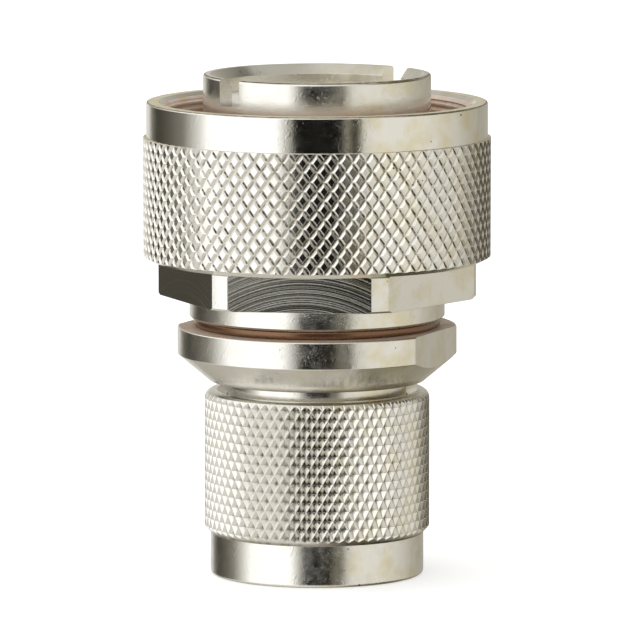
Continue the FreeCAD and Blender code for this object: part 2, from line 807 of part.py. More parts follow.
def n_inner_pieces():
    gasket = turned(
        "n_gasket",
        [
            ("n_gasket_inner", "n_gasket_low"),
            ("n_gasket_outer", "n_gasket_low"),
            ("n_gasket_outer", "neck_front"),
            ("n_gasket_inner", "neck_front"),
        ],
    )
    front_bead = turned(
        "n_front_bead",
        [
            ("n_bead_hole", "n_bead_low"),
            ("n_bead_radius", "n_bead_low"),
            ("n_bead_radius", "n_bead_top"),
            ("n_bead_hole", "n_bead_top"),
        ],
    )
    rear_bead = turned(
        "n_rear_bead",
        [
            ("n_bead_hole", "n_rear_bead_low"),
            ("n_bead_radius", "n_rear_bead_low"),
            ("n_bead_radius", "n_collar_top"),
            ("n_bead_hole", "n_collar_top"),
        ],
    )
    pin = turned(
        "n_centre_pin",
        [
            (AXIS, "n_pin_tip"),
            ("n_nose_radius", "n_pin_tip"),
            ("n_pin_radius", "n_nose_top"),
            ("n_pin_radius", "n_pin_shoulder"),
            ("n_rod_front", "n_pin_shoulder"),
            ("n_rod_radius", "n_rod_edge"),
            ("n_rod_radius", "n_bead_top"),
            ("n_stop_radius", "n_bead_top"),
            ("n_stop_radius", "n_stop_top"),
            ("n_rod_radius", "n_stop_top"),
            ("n_rod_radius", "n_rod_top"),
            ("n_stud_radius", "n_rod_top"),
            ("n_stud_radius", "n_stud_top"),
            (AXIS, "n_stud_top"),
        ],
    )
    return [gasket, front_bead, rear_bead, pin]


# Middle: the bead clamped between the two bodies, the rod that joins the centre conductors, and
# the seal in the bodies' joint


def middle_pieces():
    bead = turned(
        "middle_bead",
        [
            ("bead_hole", "spigot_top"),
            ("bead_radius", "spigot_top"),
            ("bead_radius", "bead_top"),
            ("bead_hole", "bead_top"),
        ],
    )
    rod = turned(
        "centre_rod",
        [
            ("rod_socket_radius", "n_rod_top"),
            ("rod_radius", "n_rod_top"),
            ("rod_radius", "bead_top"),
            ("rod_flange_radius", "bead_top"),
            ("rod_flange_radius", "lip_top"),
            ("rod_stud_radius", "lip_top"),
            ("rod_stud_radius", "rod_stud_top"),
            (AXIS, "rod_stud_top"),
            (AXIS, "rod_socket_top"),
            ("rod_socket_radius", "rod_socket_top"),
        ],
    )
    seal = turned(
        "joint_seal",
        [
            ("socket_radius", "band_top"),
            ("seal_outer", "band_top"),
            ("seal_outer", "neck_low"),
            ("socket_radius", "neck_low"),
        ],
    )
    return [bead, rod, seal]


# Large plug: slotted shell, gasket, insulator and centre contact


def outer_shell():
    body = turned(
        "outer_shell",
        [
            ("shell_bore", "shell_low"),
            ("shell_spigot_radius", "shell_low"),
            ("shell_spigot_radius", "collar_top"),
            ("shell_flange_radius", "collar_top"),
            ("shell_flange_radius", "shell_flange_top"),
            ("shell_radius", "shell_flange_top"),
            ("shell_radius", "shell_edge", "shell_round"),
            ("shell_top_radius", "shell_top"),
            ("shell_mouth_radius", "shell_top"),
            ("shell_bore", "shell_mouth_low"),
        ],
    )
    slot = new_sketch(body, "spanner_slot_outline", "XZ_Plane")
    rectangle(
        slot,
        ("shell_half_slot", -1),
        ("shell_half_slot", 1),
        ("shell_slot_low", 1),
        ("above_shell", 1),
    )
    doc.recompute()
    pocketed(body, slot, "spanner_slots")
    turn_about_axis(body, "shell_slot_turn", -1)
    return body


def large_inner_pieces():
    gasket = turned(
        "large_gasket",
        [
            ("large_gasket_inner", "collar_top"),
            ("large_gasket_outer", "collar_top"),
            ("large_gasket_outer", "large_gasket_top"),
            ("large_gasket_inner", "large_gasket_top"),
        ],
    )
    insulator = turned(
        "large_insulator",
        [
            ("insulator_hole", "lip_top"),
            ("shell_spigot_radius", "lip_top"),
            ("shell_spigot_radius", "insulator_foot_top"),
            ("insulator_radius", "insulator_foot_top"),
            ("insulator_radius", "insulator_top"),
            ("insulator_well_radius", "insulator_top"),
            ("insulator_well_radius", "insulator_floor"),
            ("insulator_hole", "insulator_floor"),
        ],
    )
    contact = turned(
        "large_centre_contact",
        [
            ("large_socket_radius", "lip_top"),
            ("large_shank_radius", "lip_top"),
            ("large_shank_radius", "insulator_floor"),
            ("large_pin_radius", "insulator_floor"),
            ("large_pin_radius", "large_pin_edge"),
            ("large_nose_radius", "large_pin_top"),
            (AXIS, "large_pin_top"),
            (AXIS, "large_socket_top"),
            ("large_socket_radius", "large_socket_top"),
        ],
    )
    return [gasket, insulator, contact]


pieces = [
    n_coupling_nut(),
    large_coupling_nut(),
    *snap_rings(),
    lower_body(),
    upper_body(),
    n_outer_contact(),
    n_clamp_ring(),
    *n_inner_pieces(),
    *middle_pieces(),
    outer_shell(),
    *large_inner_pieces(),
]
doc.recompute()

for item in doc.Objects:
    if "Invalid" in item.State or "Error" in item.State:
        raise RuntimeError(f"{item.Name} failed: {item.State}")

for piece in pieces:
    shape = piece.Shape
    if shape.isNull() or not shape.isValid() or len(shape.Solids) != 1:
        raise RuntimeError(f"{piece.Label} has no single valid solid")

os.makedirs("parts", exist_ok=True)
for piece in pieces:
    piece.Shape.exportStep(os.path.join("parts", f"{piece.Label}.step"))
    box = piece.Shape.BoundBox
    print(f"{piece.Label}: z {box.ZMin:.2f} to {box.ZMax:.2f}, volume {piece.Shape.Volume:.1f}")
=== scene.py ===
from functools import partial
from math import ceil, cos, hypot, pi, radians, sin, tan

import bmesh
import bpy
from bpy.props import FloatProperty, FloatVectorProperty, IntProperty, PointerProperty
from bpy.types import Operator, Panel, PropertyGroup
from mathutils import Matrix, Vector


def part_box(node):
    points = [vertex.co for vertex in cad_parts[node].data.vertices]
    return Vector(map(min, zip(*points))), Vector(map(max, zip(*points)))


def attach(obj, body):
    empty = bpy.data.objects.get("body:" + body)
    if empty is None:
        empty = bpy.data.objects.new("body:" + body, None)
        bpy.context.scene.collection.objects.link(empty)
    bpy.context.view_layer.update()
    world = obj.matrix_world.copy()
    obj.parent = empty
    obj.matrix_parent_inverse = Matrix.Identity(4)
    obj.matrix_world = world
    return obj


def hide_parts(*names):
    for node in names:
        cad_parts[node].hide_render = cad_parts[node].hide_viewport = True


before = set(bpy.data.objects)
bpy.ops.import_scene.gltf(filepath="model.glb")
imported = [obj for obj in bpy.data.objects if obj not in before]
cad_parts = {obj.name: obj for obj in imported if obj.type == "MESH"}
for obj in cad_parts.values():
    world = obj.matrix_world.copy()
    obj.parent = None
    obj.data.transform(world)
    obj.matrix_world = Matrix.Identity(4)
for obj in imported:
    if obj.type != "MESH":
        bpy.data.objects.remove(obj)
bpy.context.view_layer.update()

bl_info = {
    "name": "Coaxial adapter",
    "version": (1, 0, 0),
    "blender": (4, 5, 0),
    "location": "3D View > Sidebar > Adapter",
    "description": "Dresses a coaxial adapter: two knurled coupling nuts, two bodies and their contacts",
    "category": "Object",
}

# Lengths below are in metres, as the frame's are; MM turns a millimetre into one
MM = 0.001
# Nearer to the axis than this, a point lies on it
ON_AXIS = 1e-9


def linear(colour):
    """An sRGB hex colour as linear red, green, blue and alpha."""
    channels = [int(colour[at:at + 2], 16) / 255 for at in (1, 3, 5)]
    return tuple(c / 12.92 if c <= 0.04045 else ((c + 0.055) / 1.055) ** 2.4 for c in channels) + (1.0,)


def length(name, description, millimetres):
    """A property that holds a length."""
    return FloatProperty(
        name=name, description=description, default=millimetres * MM, min=0, unit="LENGTH",
        subtype="DISTANCE", precision=5
    )


def angle(name, description, degrees):
    """A property that holds an angle."""
    return FloatProperty(
        name=name, description=description, default=radians(degrees), unit="ROTATION", subtype="ANGLE"
    )


def colour(name, description, value):
    """A property that holds a colour, given in sRGB hex."""
    return FloatVectorProperty(
        name=name, description=description, default=linear(value), size=4, min=0, max=1, subtype="COLOR"
    )


# Settings


class AdapterSizes(PropertyGroup):
    """Sizes of the adapter that the frame's boxes don't give."""

    edge: length("Edge", "Broken edge of the turned pieces", 0.08)
    # large coupling nut
    large_bore: length("Large bore", "Rear bore of the large nut", 12.68)
    large_thread: length("Large thread", "Crest radius of the large nut's thread", 13.7)
    large_pitch: length("Large pitch", "Pitch of the large nut's fine thread", 0.6)
    large_foot: length("Large foot", "Radius of the large nut's foot", 15.0)
    large_chamfer: length("Large chamfer", "Height of the chamfer below the large knurl", 0.45)
    large_rim_height: length("Large rim height", "Height of the smooth rim", 3.25)
    large_knurl_rise: length("Large knurl rise", "How far the large knurl stands out of the rim", 0.28)
    large_knurl_depth: length("Large knurl depth", "Depth of the grooves of the large knurl", 0.2)
    large_flat: FloatProperty(
        name="Large flat tops", description="Share of each diamond that the large knurl's flat top takes",
        default=0.53, min=0, max=0.9
    )
    large_diamonds: IntProperty(
        name="Large diamonds", description="Diamonds round the large knurl", default=78, min=3
    )
    large_rows: IntProperty(
        name="Large half rows", description="Half rows of diamonds up the large knurl", default=13, min=2
    )
    # lower coupling nut
    n_bore: length("Lower bore", "Rear bore of the lower nut", 8.28)
    n_thread: length("Lower thread", "Crest radius of the lower nut's thread", 7.43)
    n_pitch: length("Lower pitch", "Pitch of the lower nut's thread, 24 to the inch", 25.4 / 24)
    n_band_height: length("Lower band height", "Height of the lower nut's smooth band", 3.85)
    n_knurl_rise: length("Lower knurl rise", "How far the lower knurl stands out of the band", 0.54)
    n_knurl_depth: length("Lower knurl depth", "Depth of the lower knurl's pits", 0.42)
    n_chamfer: length("Lower chamfer", "Height of the chamfer below the lower knurl", 0.6)
    n_round: length("Lower round", "Rounding of the lower nut's shoulder", 0.75)
    n_diamonds: IntProperty(
        name="Lower diamonds", description="Diamonds round the lower knurl", default=66, min=3
    )
    n_rows: IntProperty(
        name="Lower half rows", description="Half rows of diamonds up the lower knurl", default=14, min=2
    )
    # bodies
    neck: length("Neck", "Radius of the neck under the cone", 8.2)
    cone_low: length("Cone", "Radius of the cone's small end", 9.9)
    band_flat: length("Band flats", "Distance of the two wrench flats from the axis", 11.9)
    hex_flat: length("Six flats", "Distance of the six wrench flats from the axis", 13.05)
    collar: length("Collar", "Radius of the collar in the large nut", 12.6)
    # contacts and shell
    shell_bore: length("Shell bore", "Bore of the slotted shell", 9.04)
    shell_radius: length("Shell", "Radius of the slotted shell", 10.42)
    slot_width: length("Spanner slot", "Width of the shell's spanner slots", 2.7)
    slot_depth: length("Spanner slot depth", "Depth of the shell's spanner slots", 2.45)
    finger_slot: length("Finger slot", "Width of the slots between the spring fingers", 0.3)


class AdapterAngles(PropertyGroup):
    """Directions about the axis, from the camera's side, with plus to its right."""

    six_flats: angle("Six flats", "Direction of one of the six flats", -7)
    band_flats: angle("Band flats", "Direction of one of the two flats", 66)
    slots: angle("Spanner slots", "Direction of one of the shell's slots", -50.1)
    fingers: angle("Finger slots", "Direction of one of the slots between the spring fingers", 7.5)
    camera_height: angle("Camera height", "Angle of the view above the level", 7.2)


class AdapterColours(PropertyGroup):
    """Colours of the adapter's finishes."""

    silver: colour("Silver plating", "Satin silver plating on brass", "#E3E1DB")
    stain: colour("Stain", "Yellow sulphide stain on the plating", "#D6CAA2")
    # olive-brown of dirt in the knurls' grooves, which also paints shade there
    dirt_and_shade: colour("Knurl dirt", "Olive-brown dirt in the knurls' grooves", "#5A4E33")
    # light copper-brown of tarnish in grooves and threads, also a painted reflection of warm light between
    # the silver walls
    tarnish_and_sheen: colour("Tarnish", "Copper-brown tarnish in grooves and threads", "#E0C0A8")
    # also the colour of the painted shade in the large knurl's deeper grooves
    speck_and_shade: colour("Speck", "Dark specks of tarnish", "#3B342A")
    bronze: colour("Spring bronze", "Plated spring bronze", "#CFC3AE")
    insulator: colour("Insulator", "Turned fluoroplastic", "#ECE9E0")
    haze: colour("Insulator haze", "Cream haze on the insulator", "#D9D0BC")
    rubber: colour("Rubber", "Silicone rubber of the gaskets", "#6E2C20")
    joint_seal: colour("Joint seal", "Rubber with copper powder in the bodies' joint", "#7E6048")
    bloom: colour("Bloom", "Dusty bloom on the rubber", "#8C7668")


def sizes():
    return bpy.context.scene.adapter_sizes


def angles():
    return bpy.context.scene.adapter_angles


def colours():
    return bpy.context.scene.adapter_colours


# Meshes


def rounded(outline, steps=4):
    """The outline's points, with arcs in place of corners that have a third number, their radius."""
    points = []
    for at, (radius, height, *rounding) in enumerate(outline):
        corner = Vector((radius, height))
        if not rounding or not rounding[0]:
            points.append(corner)
            continue
        before = (Vector(outline[at - 1][:2]) - corner).normalized()
        after = (Vector(outline[(at + 1) % len(outline)][:2]) - corner).normalized()
        half = before.angle(after) / 2
        inset = rounding[0] / tan(half)
        centre = corner + (before + after).normalized() * rounding[0] / sin(half)
        start = corner + before * inset - centre
        sweep = pi - 2 * half
        if start.x * (after - before).y - start.y * (after - before).x < 0:
            sweep = -sweep
        for step in range(steps + 1):
            points.append(centre + Matrix.Rotation(sweep * step / steps, 2) @ start)
    return points


def lathe(name, outline, segments=312):
    """A closed solid turned about Z from a counter-clockwise half section."""
    points = rounded(outline)
    vertices, rings = [], []
    for point in points:
        if point.x < ON_AXIS:
            rings.append([len(vertices)] * segments)
            vertices.append((0, 0, point.y))
            continue
        rings.append(list(range(len(vertices), len(vertices) + segments)))
        for step in range(segments):
            turn = 2 * pi * step / segments
            vertices.append((point.x * cos(turn), point.x * sin(turn), point.y))
    faces = []
    for low, high in zip(rings, rings[1:] + rings[:1]):
        for step in range(segments):
            after = (step + 1) % segments
            corners = [low[step], low[after], high[after], high[step]]
            face = list(dict.fromkeys(corners))
            if len(face) > 2:
                faces.append(face)
    return placed(name, vertices, faces)


def placed(name, vertices=(), faces=()):
    """A new object in the scene with a mesh of its own."""
    mesh = bpy.data.meshes.new(name)
    mesh.from_pydata(vertices, [], faces)
    piece = bpy.data.objects.new(name, mesh)
    bpy.context.scene.collection.objects.link(piece)
    return piece


def applied(piece, modifier):
    with bpy.context.temp_override(object=piece, active_object=piece):
        bpy.ops.object.modifier_apply(modifier=modifier.name)


def combined(piece, tool, operation="DIFFERENCE"):
    """Adds, cuts or keeps the common part of a tool, which is used up."""
    change = piece.modifiers.new(operation.lower(), "BOOLEAN")
    change.operation = operation
    change.solver = "MANIFOLD"
    change.object = tool
    applied(piece, change)
    bpy.data.objects.remove(tool)
    if not piece.data.polygons:
        raise RuntimeError(f"{piece.name}: {operation} left nothing")
    return piece


def box_between(name, low, high, turn=0.0):
    """A box from corner to corner, turned about Z."""
    bm = bmesh.new()
    bmesh.ops.create_cube(bm, size=1)
    low, high = Vector(low), Vector(high)
    bmesh.ops.scale(bm, vec=high - low, verts=bm.verts)
    bmesh.ops.translate(bm, vec=(high + low) / 2, verts=bm.verts)
    bmesh.ops.rotate(bm, matrix=Matrix.Rotation(turn, 3, "Z"), verts=bm.verts)
    box = placed(name)
    bm.to_mesh(box.data)
    bm.free()
    return box


def prism(name, apothem, low, high, sides, direction):
    """An upright prism with one side at the direction, an angle from the camera's side."""
    corner = apothem / cos(pi / sides)
    first = direction - pi / 2 + pi / sides
    around = [first + 2 * pi * side / sides for side in range(sides)]
    flat = [(corner * cos(turn), corner * sin(turn)) for turn in around]
    vertices = [(x, y, low) for x, y in flat] + [(x, y, high) for x, y in flat]
    faces = [list(range(sides))[::-1], list(range(sides, 2 * sides))]
    for side in range(sides):
        after = (side + 1) % sides
        faces.append([side, after, sides + after, sides + side])
    return placed(name, vertices, faces)


def knurled_drum(name, diamonds, half_rows, low, high, node_radius, middle_radius):
    """A drum whose side is a lattice of diamonds, four facets to each, one diamond past each end.

    The corners of the diamonds lie at the node radius and their middles at the middle radius.
    """
    row_height = (high - low) / half_rows
    columns = 2 * diamonds
    rows = range(-2, half_rows + 3)
    vertices = []
    for row in rows:
        for column in range(columns):
            turn = 2 * pi * column / columns
            radius = middle_radius if (row + column) % 2 else node_radius
            vertices.append((radius * cos(turn), radius * sin(turn), low + row * row_height))
    faces = []
    for at in range(len(rows) - 1):
        for column in range(columns):
            a = at * columns + column
            b = at * columns + (column + 1) % columns
            c, d = b + columns, a + columns
            # the facets meet along the lines between corners, so the diagonal joins two of them
            if (rows[at] + column) % 2:
                faces += [[a, b, d], [b, c, d]]
            else:
                faces += [[a, b, c], [a, c, d]]
    last = (len(rows) - 1) * columns
    faces.append(list(range(columns))[::-1])
    faces.append(list(range(last, last + columns)))
    return placed(name, vertices, faces)


def thread_cutter(name, crest, pitch, depth, low, high, per_turn=96):
    """A helical cutter of an inner thread: its section is a V with a flat root."""
    turns = (high - low) / pitch
    steps = round(turns * per_turn)
    root, mouth = 0.125 * pitch, 0.8 * pitch
    inner, outer = crest - 0.05 * depth, crest + depth
    section = [(inner, -mouth / 2), (outer, -root / 2), (outer, root / 2), (inner, mouth / 2)]
    vertices, faces = [], []
    for step in range(steps + 1):
        turn = 2 * pi * step / per_turn
        rise = low + pitch * step / per_turn
        vertices += [(r * cos(turn), r * sin(turn), rise + z) for r, z in section]
    corners = len(section)
    for step in range(steps):
        for corner in range(corners):
            after = (corner + 1) % corners
            start, end = step * corners, (step + 1) * corners
            faces.append([start + corner, end + corner, end + after, start + after])
    faces.append(list(range(corners)))
    faces.append([steps * corners + corner for corner in reversed(range(corners))])
    cutter = placed(name, vertices, faces)
    bm = bmesh.new()
    bm.from_mesh(cutter.data)
    bmesh.ops.recalc_face_normals(bm, faces=bm.faces)
    bm.to_mesh(cutter.data)
    bm.free()
    return cutter


def finished(
    piece, finishes, replaced, chooser=None, crease=30, body="adapter_body"
):
    """Gives a piece its finishes and shading and sets it in the frame in place of its CAD node.

    The chooser tells from a face's distance from the axis, centre and normal which finish it takes.
    """
    mesh = piece.data
    mesh.materials.clear()
    for name in finishes:
        mesh.materials.append(finish_named(name))
    for face in mesh.polygons:
        centre = face.center
        radius = hypot(centre.x, centre.y)
        face.material_index = chooser(radius, centre, face.normal) if chooser else 0
    mesh.shade_smooth()
    mesh.set_sharp_from_angle(angle=radians(crease))
    weighted = piece.modifiers.new("weighted_normals", "WEIGHTED_NORMAL")
    weighted.keep_sharp = True
    applied(piece, weighted)
    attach(piece, body)
    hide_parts(replaced)
    return piece


def snap_groove(bore, ring):
    """The points of an outline round a snap ring in its groove, from the top down."""
    low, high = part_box(ring)
    side_gap, back_gap = 0.05 * MM, 0.12 * MM
    top, bottom, back = high.z + side_gap, low.z - side_gap, high.x + back_gap
    return (bore, top), (back, top), (back, bottom), (bore, bottom)


def knurled(nut, drum, inner, crest, low, top, segments=312):
    """Cuts away what a nut has outside the drum of its knurl, between two heights."""
    outer = crest + MM
    waste = lathe("waste", [(inner, low), (outer, low), (outer, top), (inner, top)], segments)
    combined(waste, drum)
    combined(nut, waste)


def flats_laid_out(piece, apothem, sides, direction):
    """Gives the flats a UV map in millimetres: u along the flat, v up."""
    layer = piece.data.uv_layers.new(name="flats")
    square_on, near = 0.9999, 0.02 * MM
    for face in piece.data.polygons:
        for side in range(sides):
            turn = direction - pi / 2 + 2 * pi * side / sides
            outward = Vector((cos(turn), sin(turn), 0))
            along = Vector((-sin(turn), cos(turn), 0))
            if face.normal.dot(outward) > square_on and abs(face.center.dot(outward) - apothem) < near:
                for loop in face.loop_indices:
                    point = piece.data.vertices[piece.data.loops[loop].vertex_index].co
                    layer.data[loop].uv = (point.dot(along) / MM, point.z / MM)


# Materials


def node(tree, kind, inputs=None, **settings):
    """Adds a node with its settings. An input is a value, a socket, or a node for its first output."""
    added = tree.nodes.new("ShaderNode" + kind)
    for name, setting in settings.items():
        setattr(added, name, setting)
    for key, source in (inputs or {}).items():
        if isinstance(key, str):
            socket = next(s for s in added.inputs if s.name == key and s.enabled)
        else:
            socket = added.inputs[key]
        if isinstance(source, bpy.types.Node):
            source = next(s for s in source.outputs if s.enabled)
        if isinstance(source, bpy.types.NodeSocket):
            tree.links.new(source, socket)
        else:
            socket.default_value = source
    return added


def maths(add, operation, first, second):
    return add("Math", {0: first, 1: second}, operation=operation)


def mixed(add, factor, first, second):
    """A colour between two."""
    return add("Mix", {"Factor": factor, "A": first, "B": second}, data_type="RGBA")


def noise(add, place, scale, detail, roughness=0.5):
    return add("TexNoise", {"Vector": place, "Scale": scale, "Detail": detail, "Roughness": roughness})


def ranged(add, value, low=0.0, high=1.0, least=0.0, most=1.0):
    """What lies from low to high, spread from least to most."""
    return add("MapRange", {
        "Value": value, "From Min": low, "From Max": high, "To Min": least, "To Max": most
    })


def bumped(add, height, distance, under):
    """Bumps up to so many millimetres high on top of others, or of a bevel."""
    return add("Bump", {"Height": height, "Distance": distance * MM, "Normal": under})


def emptied(owner):
    """Clears the nodes of a material or world, and gives what adds a node to it."""
    owner.use_nodes = True
    owner.node_tree.nodes.clear()
    return partial(node, owner.node_tree)


def finish_of(name, shader):
    """A material with a principled shader. A function adds its nodes and gives its inputs."""
    material = bpy.data.materials.new(name)
    add = emptied(material)
    add("OutputMaterial", {"Surface": add("BsdfPrincipled", shader(add))})
    return material


def metal(shade, rough, normal, shine=1.0):
    """The inputs of a metal's principled shader."""
    return {"Base Color": shade, "Metallic": shine, "Roughness": rough, "Normal": normal}


def place_on(add):
    """The place on the object in millimetres, and its distance from the axis."""
    coordinates = add("TexCoord")
    place = add("VectorMath", {0: coordinates.outputs["Object"], "Scale": 1 / MM}, operation="SCALE")
    across = add("VectorMath", {0: place, 1: (1, 1, 0)}, operation="MULTIPLY")
    radius = add("VectorMath", {0: across}, operation="LENGTH").outputs["Value"]
    return place, radius


def patchy(add, place, scale, detail, low, high, least=0.0, most=1.0):
    """An amount from least to most in soft clouds, of which so many, the scale, go to a millimetre."""
    return ranged(add, noise(add, place, scale, detail), low, high, least, most)


def tool_rings(add, place, radius, depth, edge):
    """Fine rings left by a lathe tool, and edges broken by a radius of so many millimetres.

    The rings are 0.05 mm apart in life and drawn 0.15 mm apart so that they show.
    """
    edges = add("Bevel", {"Radius": edge * MM}, samples=4)
    parts = add("SeparateXYZ", {0: place})
    slow = maths(add, "MULTIPLY", parts.outputs["X"], 0.03)
    rings = add("CombineXYZ", {0: radius, 1: parts.outputs["Z"], 2: slow})
    height = noise(add, rings, 6.5, 2.0)
    return bumped(add, height, depth, edges)


def handling(add, place, wear, under):
    """Wear from years in drawers: dents 0.1 to 0.2 mm across in patches, and long scratches."""
    dents = noise(add, place, 6.0, 2.0, 0.6)
    pressed = ranged(add, dents, 0.58, 0.8)
    where = patchy(add, place, 0.5, 2.0, 0.38, 0.66, 0.15)
    depth = maths(add, "MULTIPLY", pressed, where)
    normal = bumped(add, depth, 0.01 * wear, under)
    for turn, scale in (((0.4, 0.9, 0.3), 2.6), ((1.9, -0.5, 1.2), 2.0)):
        along = add("Mapping", {
            "Vector": place, "Rotation": turn, "Scale": (1.0, 18.0, 1.0)
        }, vector_type="TEXTURE")
        cut = patchy(add, along, scale, 1.0, 0.66, 0.72)
        normal = bumped(add, cut, 0.004 * wear, normal)
    return normal


def stained(add, place, amount):
    """Silver with thin yellow sulphide stains, 2 to 5 mm across, and black specks 0.1 mm across.

    The stains grow stronger towards plus X, the camera's right.
    """
    finish = colours()
    side = add("SeparateXYZ", {0: place})
    most = ranged(add, side, -3.0, 6.0, 0.15 * amount, amount)
    yellow = patchy(add, place, 0.4, 4.0, 0.42, 0.64, most=most)
    shade = mixed(add, yellow, finish.silver, finish.stain)
    spots = add("TexVoronoi", {"Vector": place, "Scale": 1.1})
    size = patchy(add, place, 0.3, 2.0, 0.5, 0.7, most=0.12)
    inside = maths(add, "LESS_THAN", spots, size)
    return mixed(add, inside, shade, finish.speck_and_shade)


def turned_silver(smoothest, roughest, wear, add):
    """Brass turned on a lathe and silver-plated.

    The plating evens out the tool marks. That gives a satin mirror, clearer on the large nut's rim and
    duller elsewhere, with rings that are hardly seen, dents that sparkle where it mirrors something
    dark, and yellow stains.
    """
    place, radius = place_on(add)
    rough = patchy(add, place, 1.2, 3.0, 0.3, 0.7, smoothest, roughest)
    frost = noise(add, place, 9.0, 2.0)
    normal = tool_rings(add, place, radius, 0.0015, 0.05)
    normal = bumped(add, frost, 0.0022, normal)
    normal = handling(add, place, wear, normal)
    return metal(stained(add, place, 0.6), rough, normal)


def knurled_silver(root, crest, edge, least, most, lattice, add):
    """Silver-plated brass whose pattern was pressed in by knurling wheels.

    The wheels leave soft edges that catch light, and the plating is thinner and rougher in the grooves.
    Towards their roots the grooves are mixed with an olive-brown colour: partly dirt and tarnish that sit
    there, partly painted shade. The root and crest radii say where the grooves are, and least and most how
    much of them that colour covers. One of the two wheels cut deeper: with the lattice, which is the
    diamonds round, the height of one and the height of the lowest crossing, its grooves get dark dashes of
    painted shade between the crossings, since the mesh cuts both families alike.
    """
    place, radius = place_on(add)
    edges = add("Bevel", {"Radius": edge * MM}, samples=4)
    grain = noise(add, place, 6.0, 4.0, 0.7)
    normal = bumped(add, grain, 0.006, edges)
    # dirt and painted shade: the grooves are mixed, in patches, towards the olive-brown colour nearer their
    # roots
    deep = ranged(add, radius, root / MM, (root + 0.5 * (crest - root)) / MM, 1.0, 0.0)
    dirt_and_shade = patchy(add, place, 1.1, 4.0, 0.48, 0.7, least, most)
    amount = maths(add, "MULTIPLY", deep, dirt_and_shade)
    shade = mixed(add, amount, stained(add, place, 0.3), colours().dirt_and_shade)
    if lattice:
        # painted shade: dark dashes in the grooves of the deeper wheel, in the speck colour
        dashes = painted_groove_shade(add, place, *lattice)
        shade = mixed(add, dashes, shade, colours().speck_and_shade)
    rough = ranged(add, deep, least=0.12, most=0.26)
    return metal(shade, rough, normal)


def painted_groove_shade(add, place, diamonds, cell, crossing):
    """Painted shade in those grooves that fall to the right, which one wheel cut deeper: short dark dashes
    0.1 mm wide.
    """
    parts = add("SeparateXYZ", {0: place})
    turn = maths(add, "ARCTAN2", parts.outputs["Y"], parts.outputs["X"])
    around = maths(add, "MULTIPLY", turn, diamonds / (2 * pi))
    above = maths(add, "SUBTRACT", parts.outputs["Z"], crossing / MM)
    up = maths(add, "DIVIDE", above, cell / MM)
    falling = maths(add, "ADD", around, up)
    rising = maths(add, "SUBTRACT", around, up)
    off_line = maths(add, "PINGPONG", falling, 0.5)
    off_crossing = maths(add, "PINGPONG", rising, 0.5)
    line = ranged(add, off_line, 0.04, 0.1, 1.0, 0.0)
    between = ranged(add, off_crossing, 0.14, 0.24)
    kept = patchy(add, place, 2.2, 2.0, 0.35, 0.6, 0.25)
    dash = maths(add, "MULTIPLY", line, between)
    return maths(add, "MULTIPLY", dash, kept)


def milled_silver(add):
    """Silver-plated brass, milled flat with a cutter 28 mm across.

    The cutter leaves arcs 0.2 to 0.4 mm apart. Their ridges catch light as thin bright lines wherever the
    flat mirrors something dark, and the flat is rougher than the turned surfaces.
    """
    place, _ = place_on(add)
    flat = add("UVMap", uv_map="flats")
    from_centre = add("VectorMath", {0: flat, 1: (0.4, 14.5, 0.0)}, operation="SUBTRACT")
    arc = add("VectorMath", {0: from_centre}, operation="LENGTH").outputs["Value"]
    ridges = add("TexNoise", {"W": arc, "Scale": 7.5, "Detail": 4.0}, noise_dimensions="1D")
    fine = add("MapRange", {
        "Value": ridges, "From Min": 0.5, "From Max": 0.66
    }, interpolation_type="SMOOTHSTEP")
    grain = noise(add, place, 6.0, 4.0, 0.7)
    edges = add("Bevel", {"Radius": 0.05 * MM}, samples=4)
    normal = bumped(add, fine, 0.003, edges)
    normal = bumped(add, grain, 0.0015, normal)
    rough = ranged(add, fine, least=0.08, most=0.16)
    return metal(stained(add, place, 0.6), rough, normal)


def tarnish_and_sheen_silver(tint, shine, add):
    """Silver plating that was never handled, in threads, behind shoulders and on the large nut's top.

    Sulphur and old grease have turned it copper-brown in patches: a layer that scatters light. Its light
    pinkish tint is also a painted reflection, standing in for warm light bounced between the silver walls,
    which leaves a dull, light and reddish sheen between the shell and the rim.
    """
    place, radius = place_on(add)
    finish = colours()
    amount = patchy(add, place, 0.8, 4.0, 0.3, 0.62, 0.2, 0.9)
    # patches of tarnish whose light pinkish tint is also a painted reflection of warm light bounced in the
    # crevices
    shade = mixed(add, amount, finish.silver, tint)
    rough = ranged(add, amount, least=0.45, most=0.6)
    return metal(shade, rough, tool_rings(add, place, radius, 0.006, 0.04), shine)


def tarnish_and_painted_sheen(add):
    """Tarnish and a painted warm reflection in the threads and in the bodies' joint."""
    return tarnish_and_sheen_silver(colours().tarnish_and_sheen, 0.45, add)


def matt_top(add):
    """The large nut's flat top, whose plating is matt and slightly yellow."""
    return tarnish_and_sheen_silver(colours().stain, 0.7, add)


def edge_tarnish(add):
    """The turned top edges, where fingers rub grease and dirt in: a thin and broken brown line."""
    place, _ = place_on(add)
    finish = colours()
    amount = patchy(add, place, 1.6, 4.0, 0.35, 0.6, 0.35, 0.95)
    shade = mixed(add, amount, finish.stain, finish.dirt_and_shade)
    return {"Base Color": shade, "Metallic": 1.0, "Roughness": 0.35}


def spring_bronze(add):
    """Spring bronze with a thin plating: smoother and warmer than the turned brass, lightly ringed."""
    place, radius = place_on(add)
    finish = colours()
    warm = noise(add, place, 1.0, 3.0)
    shade = mixed(add, warm, finish.bronze, finish.silver)
    rough = ranged(add, warm, least=0.14, most=0.3)
    return metal(shade, rough, tool_rings(add, place, radius, 0.004, 0.04))


